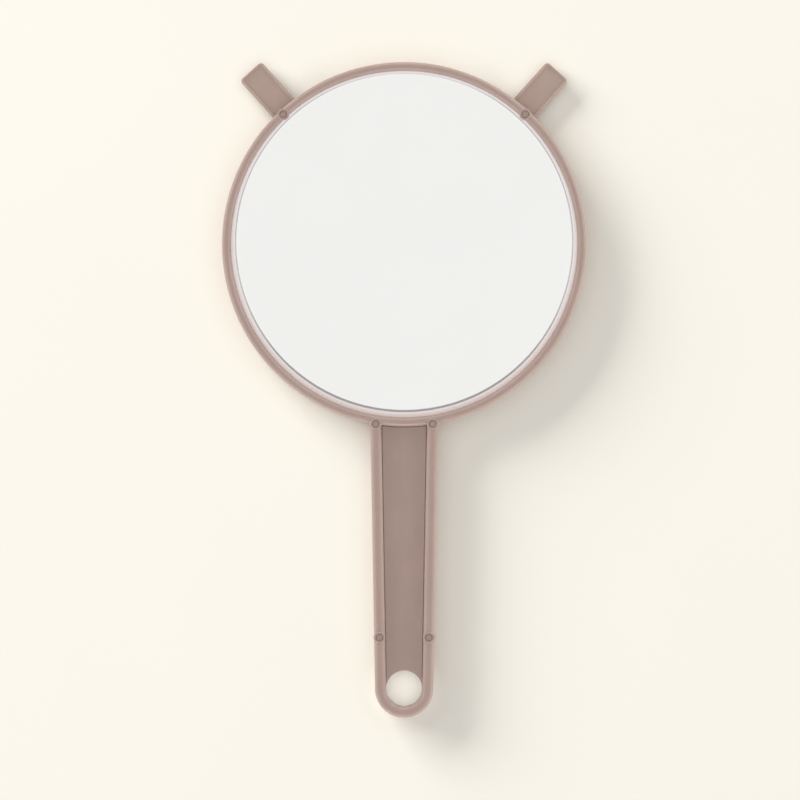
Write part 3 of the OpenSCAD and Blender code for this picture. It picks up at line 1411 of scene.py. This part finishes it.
@dataclass
class Foot:
    """Flat swing-out tab with a raised lip, rounded edges and an eye for its pin."""

    size: Measures
    finish: Finish
    side: Side
    body: Body
    width: float = 11.3 * MM
    outer_side: float = 3.8 * MM
    reach: float = 21.3 * MM
    plate_t: float = 2.0 * MM
    tip_r: float = 1.6 * MM
    lip_w: float = 0.9 * MM
    edge: float = 0.3 * MM
    top_edge: float = 0.36 * MM
    cleared: float = 0.06 * MM

    def outline(self, inset: float) -> list[Point]:
        """Outline with the pin at the origin and the tip along +Y.

        Args:
            inset: How far it is cut back all round.

        Returns:
            Its points.
        """
        left, right = inset - self.outer_side, self.width - self.outer_side - inset
        low, high = inset - self.outer_side, self.reach - inset
        root = self.outer_side - inset
        tip = self.tip_r - inset / 2
        return [
            *arc((left + root, low + root), root, 180, 270, 12),
            *arc((right - root, low + root), root, 270, 360, 12),
            *arc((right - tip, high - tip), tip, 0, 90, 12),
            *arc((left + tip, high - tip), tip, 90, 180, 12),
        ]

    def build(self) -> bpy.types.Object:
        """Builds the tab, turns it to its open place and dresses it.

        Returns:
            The finished piece.
        """
        s = self.size
        e = self.edge
        lip_h = s.foot_top - s.foot_z - self.plate_t
        high = self.plate_t + lip_h
        top_e = self.top_edge
        turns = [math.pi / 2 * i / 6 for i in range(7)]
        levels = [(e - e * math.cos(a), e - e * math.sin(a)) for a in turns]
        levels += [(high - top_e + top_e * math.sin(a), top_e - top_e * math.cos(a)) for a in turns]
        crest = self.lip_w - top_e
        levels += [(high - 0.02 * MM, crest), (high - 0.08 * MM, crest + 0.09 * MM)]
        levels += [(self.plate_t + 0.1 * MM, self.lip_w - 0.06 * MM)]
        levels += [(self.plate_t + 0.02 * MM, self.lip_w + 0.03 * MM), (self.plate_t, self.lip_w + 0.16 * MM)]
        levels.append((self.plate_t, self.lip_w + 0.4 * MM))
        tab = Solid.raised("tab", [(z, self.outline(inset)) for z, inset in levels])
        tab.merge(Merge.CUT, rod("eye", (0, 0), s.pin_r + self.cleared, -1 * MM, 4 * MM))
        tab.moved(Matrix.Rotation(math.radians(s.foot_angle), 4, "Z"))
        if self.side is Side.RIGHT:
            turned = tab.mirrored("tab_right")
            tab.drop()
            tab = turned
        place = Vector((self.side.value * s.foot_pin[0], s.foot_pin[1], s.foot_z))
        tab.moved(Matrix.Translation(place))
        node = "foot_left" if self.side is Side.LEFT else "foot_right"
        tab.thing.name = node + "_tab"
        return tab.tidy().done(self.body, Slot.FOOT, self.finish, [node])


@dataclass
class PinSet:
    """Pins of one kind, with domed ends, copied to their places by Geometry Nodes."""

    size: Measures
    finish: Finish
    name: str
    places: list[Point]
    replaces: list[str] = field(default_factory=list)
    dome: float = 0.22 * MM
    proud: float = 0.38 * MM

    def build(self) -> bpy.types.Object:
        """Builds and dresses the pins.

        Returns:
            The finished piece.
        """
        s = self.size
        d = self.dome
        r = s.pin_r - 0.01 * MM
        top = s.pin_high + self.proud
        low = arc((r - d, s.pin_low + d), d, -90, 0, 6)
        high = arc((r - d, top - d), d, 0, 90, 6)
        pattern = Solid.turned("pin", [(AXIS, s.pin_low), *low, *high, (AXIS, top)], (0, 0), PIN_STEPS)
        pins = scattered(self.name, [(x, y, 0) for x, y in self.places], pattern, self.finish.material())
        return pins.tidy().done(Body.ROOT, Slot.PIN, self.finish, self.replaces)


@dataclass
class MirrorStack:
    """Pane with its ground bevel, silver layer and foam tape."""

    size: Measures
    pane_finish: GroundPane
    silver_finish: Finish
    foam_finish: Finish
    bevel_w: float = 2.0 * MM
    bevel_h: float = 0.7 * MM
    bevel_shift: float = 0.9 * MM
    soft: float = 0.12 * MM
    lift: float = 0.02 * MM

    def pane(self) -> bpy.types.Object:
        """Glass whose front edge is ground to a cone that stands a little off centre.

        Returns:
            The finished piece.
        """
        s = self.size
        line_r = s.glass_r - self.bevel_w
        slope = self.bevel_h / (self.bevel_w + self.bevel_shift)
        mid = (0, self.bevel_shift)
        rim = s.well_r - 0.03 * MM

        def sloped(radius: float, share: float) -> list[Vector]:
            """Loop between the bevel's inner edge and the rim.

            Args:
                radius: Radius of the rim.
                share: Place between them, from 0 to 1 at the rim.

            Returns:
                Its points.
            """
            inner = circle(mid, line_r, HEAD_STEPS)
            outer = circle((0, 0), radius, HEAD_STEPS)
            loop = []
            for (ix, iy), (ox, oy) in zip(inner, outer):
                x, y = ix + (ox - ix) * share, iy + (oy - iy) * share
                drop = slope * max(0.0, math.hypot(x, y - self.bevel_shift) - line_r)
                loop.append(Vector((x, y, s.face_z - drop)))
            return loop

        def level(radius: float, z: float, centre: Point = (0, 0)) -> list[Vector]:
            """Flat loop."""
            return [Vector((x, y, z)) for x, y in circle(centre, radius, HEAD_STEPS)]

        low = s.glass_z + self.lift
        edge = sloped(rim, 1.0)
        chamfer = [p - Vector((0, 0, 0.04 * MM)) for p in edge]
        loops = [
            level(20 * MM, low),
            level(rim - 0.04 * MM, low),
            level(rim, low + 0.04 * MM),
            chamfer,
            sloped(rim - 0.03 * MM, 1.0),
            sloped(rim, 0.5),
            sloped(rim, 0.1),
            level(line_r, s.face_z, mid),
            level(line_r - self.soft, s.face_z, mid),
            level(20 * MM, s.face_z, mid),
        ]
        pane = Solid.lofted("mirror_pane", loops)
        return pane.tidy().done(Body.ROOT, Slot.PANE, self.pane_finish, ["mirror_glass"])

    def silver(self) -> bpy.types.Object:
        """Silver layer with its backing paint.

        Returns:
            The finished piece.
        """
        s = self.size
        r = s.well_r - 0.04 * MM
        section = [(AXIS, s.silver_z), (r, s.silver_z), (r, s.glass_z), (AXIS, s.glass_z)]
        layer = Solid.turned("silver_layer", section)
        return layer.tidy().done(Body.ROOT, Slot.SILVER, self.silver_finish, ["silver_backing"])

    def foam(self) -> bpy.types.Object:
        """Foam tape, which keeps its CAD shape and gets its finish.

        Returns:
            The tape.
        """
        tape = frame["nodes"]["foam_tape"]
        material = self.foam_finish.material()
        if tape.material_slots:
            for place in tape.material_slots:
                place.material = material
        else:
            tape.data.materials.append(material)
        log.info("foam_tape: keeps its CAD shape")
        return tape

    def build(self) -> list[bpy.types.Object]:
        """Builds and dresses the pane, the silver and the tape."""
        return [self.pane(), self.silver(), self.foam()]


@dataclass
class Studio:
    """Pale floor, soft light from the upper left and the camera above."""

    size: Measures
    floor_colour: tuple[float, float, float] = (0.906, 0.886, 0.808)
    floor_half: float = 4.0
    sky: float = 0.4
    ceiling: float = 0.93
    ceiling_edge: float = 49.0
    ceiling_blur: float = 9.0
    key_power: float = 1110.0
    key_width: float = 7.2
    key_tall: float = 3.15
    key_distance: float = 9.0
    key_height: float = 17.0
    key_side: float = 141.0
    rim_count: int = 10
    rim_power: float = 0.75
    rim_height: float = 10.0
    rim_spread: float = 20.0
    hole_power: float = 25.0
    hole_distance: float = 0.8
    aim: Point = (-1.63 * MM, -60.7 * MM)
    view_width: float = 311.4 * MM
    distance: float = 3.0
    sensor: float = 36.0

    def floor(self) -> bpy.types.Object:
        """Wide floor just under the mirror.

        Returns:
            The floor.
        """
        half = self.floor_half
        z = -0.02 * MM
        corners = [(-half, -half, z), (half, -half, z), (half, half, z), (-half, half, z)]
        mesh = bpy.data.meshes.new("floor")
        mesh.from_pydata(corners, [], [(0, 1, 2, 3)])
        mesh.materials.append(PaperFloor("cream_board", self.floor_colour).material())
        board = bpy.data.objects.new("floor", mesh)
        bpy.context.scene.collection.objects.link(board)
        return board

    def world(self) -> None:
        """Nearly white ceiling over dimmer walls."""
        world = bpy.data.worlds.new("room")
        world.use_nodes = True
        bpy.context.scene.world = world
        make = NodeMaker(world.node_tree)
        world.node_tree.nodes.clear()
        direction = make.wire(make.add("ShaderNodeTexCoord"), "Generated")
        height = make.wire(make.add("ShaderNodeSeparateXYZ", None, {"Vector": direction}), "Z")
        low = math.cos(math.radians(self.ceiling_edge + self.ceiling_blur))
        high = math.cos(math.radians(self.ceiling_edge - self.ceiling_blur))
        glow = height.step(low, high, self.sky, self.ceiling)
        back = make.add("ShaderNodeBackground", None, {"Color": (1.0, 0.992, 0.985), "Strength": glow})
        make.add("ShaderNodeOutputWorld", None, {"Surface": back.outputs[0]})

    def key(self) -> bpy.types.Object:
        """Large soft light from the upper left.

        Returns:
            The lamp.
        """
        lamp = bpy.data.lights.new("key", "AREA")
        lamp.shape = "RECTANGLE"
        lamp.size = self.key_width
        lamp.size_y = self.key_tall
        lamp.energy = self.key_power
        lamp.color = (1.0, 0.985, 0.96)
        thing = bpy.data.objects.new("key", lamp)
        up, side = math.radians(self.key_height), math.radians(self.key_side)
        flat = math.cos(up)
        away = Vector((flat * math.cos(side), flat * math.sin(side), math.sin(up)))
        thing.location = away * self.key_distance + Vector((0, -0.05, 0))
        thing.rotation_euler = (-away).to_track_quat("-Z", "Y").to_euler()
        thing.visible_camera = False
        bpy.context.scene.collection.objects.link(thing)
        return thing

    def rim_lights(self) -> list[bpy.types.Object]:
        """Low soft lights all round, which brighten the sides of the rails and the bead.

        Returns:
            The lamps.
        """
        found = []
        up = math.radians(90 - self.rim_height)
        for i in range(self.rim_count):
            lamp = bpy.data.lights.new("rim", "SUN")
            lamp.energy = self.rim_power
            lamp.angle = math.radians(self.rim_spread)
            lamp.color = (1.0, 0.985, 0.97)
            thing = bpy.data.objects.new(f"rim_{i}", lamp)
            thing.rotation_euler = (up, 0, 2 * math.pi * i / self.rim_count)
            bpy.context.scene.collection.objects.link(thing)
            found.append(thing)
        return found

    def hole_light(self) -> bpy.types.Object:
        """Narrow light straight down through the hanging hole.

        Returns:
            The lamp.
        """
        lamp = bpy.data.lights.new("through_hole", "SPOT")
        lamp.energy = self.hole_power
        lamp.spot_size = math.radians(1.0)
        lamp.spot_blend = 0.1
        lamp.shadow_soft_size = 0.01
        thing = bpy.data.objects.new("through_hole", lamp)
        thing.location = (0, self.size.hole_y, self.hole_distance)
        bpy.context.scene.collection.objects.link(thing)
        return thing

    def aimed(self, lamp: bpy.types.Object, things: Sequence[bpy.types.Object], alone: bool) -> None:
        """Makes a lamp light some things alone, or everything but them.

        Args:
            lamp: The lamp.
            things: The things.
            alone: Whether only they are lit.
        """
        group = bpy.data.collections.new(lamp.name + "_reach")
        for thing in things:
            group.objects.link(thing)
        for entry in group.collection_objects:
            entry.light_linking.link_state = "INCLUDE" if alone else "EXCLUDE"
        lamp.light_linking.receiver_collection = group

    def camera(self) -> bpy.types.Object:
        """Camera straight above, with a long lens.

        Returns:
            The camera.
        """
        lens = bpy.data.cameras.new("camera")
        lens.sensor_width = self.sensor
        lens.lens = self.sensor * (self.distance - 10.5 * MM) / self.view_width
        lens.clip_end = 20
        thing = bpy.data.objects.new("camera", lens)
        thing.location = (*self.aim, self.distance)
        bpy.context.scene.collection.objects.link(thing)
        bpy.context.scene.camera = thing
        return thing

    def build(self, mirror: Sequence[bpy.types.Object]) -> None:
        """Sets up the whole studio.

        Args:
            mirror: Pieces of the mirror, which the low lights leave out.
        """
        board = self.floor()
        self.world()
        self.aimed(self.key(), [board], True)
        self.aimed(self.hole_light(), [board], True)
        for lamp in self.rim_lights():
            self.aimed(lamp, [board, *mirror], False)
        self.camera()
        bpy.context.scene.view_settings.view_transform = "Standard"
        log.info("studio: floor, surroundings, key light and camera")


def main() -> None:
    """Builds every sub-assembly in order."""
    logging.basicConfig(level=logging.INFO, format="%(name)s: %(message)s")
    size = Measures.from_frame()
    taupe = (0.335, 0.238, 0.205)
    frame_finish = MouldedPlastic("satin_taupe", taupe, 0.4, 0.16 * MM, 0.006 * MM)
    shell_finish = MouldedPlastic("matt_taupe", taupe, 0.5, 0.2 * MM, 0.012 * MM)
    # The feet use the frame's taupe painted about a fifth lighter, painted light standing in for the light their
    # flat faces catch.
    foot_finish_painted_lighter = MouldedPlastic("foot_taupe", (0.405, 0.292, 0.245), 0.42, 0.16 * MM, 0.006 * MM)
    # The pins use the frame's taupe painted a little darker, painted shade of their ends sitting low in the bores.
    pin_finish_painted_darker = MouldedPlastic("pin_taupe", (0.325, 0.231, 0.198), 0.36, 0.12 * MM, 0.004 * MM)
    FrontFrame(size, frame_finish).build()
    BackShell(size, shell_finish).build()
    Foot(size, foot_finish_painted_lighter, Side.LEFT, Body.LEFT_FOOT).build()
    Foot(size, foot_finish_painted_lighter, Side.RIGHT, Body.RIGHT_FOOT).build()
    for label, spot in (("neck_pins", size.neck_pin), ("tail_pins", size.tail_pin)):
        both = [(side.value * spot[0], spot[1]) for side in Side]
        PinSet(size, pin_finish_painted_darker, label + "_pressed", both, [label]).build()
    for side, node in ((Side.LEFT, "foot_pin_left"), (Side.RIGHT, "foot_pin_right")):
        place = (side.value * size.foot_pin[0], size.foot_pin[1])
        PinSet(size, pin_finish_painted_darker, node + "_pressed", [place], [node]).build()
    line_r = size.glass_r - MirrorStack.bevel_w
    pane = GroundPane("ground_pane", (0, MirrorStack.bevel_shift), line_r)
    mirror = MirrorStack(size, pane, Silvering("silvering"), FoamTape("foam_tape")).build()
    Studio(size).build(mirror)


if __name__ == "__main__":
    main()
